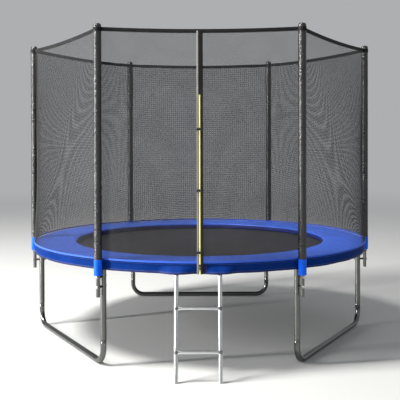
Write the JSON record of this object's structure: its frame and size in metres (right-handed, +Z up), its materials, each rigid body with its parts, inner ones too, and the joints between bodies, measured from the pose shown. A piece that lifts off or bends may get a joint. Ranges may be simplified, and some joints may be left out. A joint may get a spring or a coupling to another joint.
{
  "type": "backyard trampoline",
  "caption": "Round backyard trampoline on U-shaped tube legs, with a blue spring pad, a netted enclosure on padded poles with a zipped and buckled door, and a hook-on ladder.",
  "frame": {"origin": "centre of the bounding box on the ground, a little in front of the ring's centre because the ladder reaches forward", "axes": "+Z up, -Y out through the door and the ladder, +X to the right as seen from the front"},
  "size_m": [2.5542, 2.6098, 2.117],
  "materials": {
    "galvanised_steel": "galvanised, satin, with a faint spangle",
    "zinc_fasteners": "zinc plated",
    "spring_steel": "galvanised wire",
    "black_sleeve_cover": "black coated cloth over foam, with a blue cuff",
    "woven_mat": "black woven polypropylene",
    "blue_vinyl": "blue coated cloth over foam, slight sheen",
    "blue_vinyl_skirt": "blue coated cloth, slight sheen",
    "black_net": "black polyethylene mesh",
    "black_plastic": "moulded black",
    "zip_slider_metal": "black painted"
  },
  "bodies": {
    "frame": {"buckle_socket_lower": "black_plastic", "buckle_socket_middle": "black_plastic", "buckle_socket_upper": "black_plastic", "enclosure_pole_back_left": "galvanised_steel", "enclosure_pole_back_right": "galvanised_steel", "enclosure_pole_front_left": "galvanised_steel", "enclosure_pole_front_right": "galvanised_steel", "enclosure_pole_left": "galvanised_steel", "enclosure_pole_right": "galvanised_steel", "leg_base_back": "galvanised_steel", "leg_base_left": "galvanised_steel", "leg_base_right": "galvanised_steel", "leg_upright_back_left": "galvanised_steel", "leg_upright_back_right": "galvanised_steel", "leg_upright_front_left": "galvanised_steel", "leg_upright_front_right": "galvanised_steel", "leg_upright_left": "galvanised_steel", "leg_upright_right": "galvanised_steel", "net_panel_back": "black_net", "net_panel_back_left": "black_net", "net_panel_back_right": "black_net", "net_panel_front": "black_net", "net_panel_front_left": "black_net", "net_panel_front_right": "black_net", "pad_skirt": "blue_vinyl_skirt", "pole_bolt_back_left_lower": "zinc_fasteners", "pole_bolt_back_left_upper": "zinc_fasteners", "pole_bolt_back_right_lower": "zinc_fasteners", "pole_bolt_back_right_upper": "zinc_fasteners", "pole_bolt_front_left_lower": "zinc_fasteners", "pole_bolt_front_left_upper": "zinc_fasteners", "pole_bolt_front_right_lower": "zinc_fasteners", "pole_bolt_front_right_upper": "zinc_fasteners", "pole_bolt_left_lower": "zinc_fasteners", "pole_bolt_left_upper": "zinc_fasteners", "pole_bolt_right_lower": "zinc_fasteners", "pole_bolt_right_upper": "zinc_fasteners", "pole_sleeve_back_left": "black_sleeve_cover", "pole_sleeve_back_right": "black_sleeve_cover", "pole_sleeve_front_left": "black_sleeve_cover", "pole_sleeve_front_right": "black_sleeve_cover", "pole_sleeve_left": "black_sleeve_cover", "pole_sleeve_right": "black_sleeve_cover", "ring_segment_back_left": "galvanised_steel", "ring_segment_back_right": "galvanised_steel", "ring_segment_front_left": "galvanised_steel", "ring_segment_front_right": "galvanised_steel", "ring_segment_left": "galvanised_steel", "ring_segment_right": "galvanised_steel", "spring_pad": "blue_vinyl", "spring_set": "spring_steel"},
    "mat": {"jump_mat": "woven_mat"},
    "zip": {"zip_slider": "zip_slider_metal"},
    "ladder": {"ladder_rail_left": "galvanised_steel", "ladder_rail_right": "galvanised_steel", "ladder_rung_lower": "galvanised_steel", "ladder_rung_upper": "galvanised_steel"},
    "clip_lower": {"buckle_clip_lower": "black_plastic"},
    "clip_middle": {"buckle_clip_middle": "black_plastic"},
    "clip_upper": {"buckle_clip_upper": "black_plastic"}
  },
  "joints": [
    {"name": "mat_bounce", "type": "slide", "parent": "frame", "child": "mat", "axis": [0, 0, 1], "range_m": [-0.25, 0], "stiffness_N_per_m": 5000, "springref_m": 0.03, "deforming": ["spring_set"]},
    {"name": "zip_slide", "type": "slide", "parent": "frame", "child": "zip", "axis": [0, 0.1005, 0.9949], "range_m": [0, 1]},
    {"name": "ladder_swing", "type": "hinge", "parent": "frame", "child": "ladder", "pos_m": [-0.012, -1.11734, 0.6225], "axis": [-1, 0, 0], "range_deg": [0, 55], "deforming": ["pad_skirt"]},
    {"name": "buckle_release_lower", "type": "slide", "parent": "frame", "child": "clip_lower", "axis": [1, 0, 0], "range_m": [0, 0.03]},
    {"name": "buckle_release_middle", "type": "slide", "parent": "frame", "child": "clip_middle", "axis": [1, 0, 0], "range_m": [0, 0.03]},
    {"name": "buckle_release_upper", "type": "slide", "parent": "frame", "child": "clip_upper", "axis": [1, 0, 0], "range_m": [0, 0.03]}
  ]
}
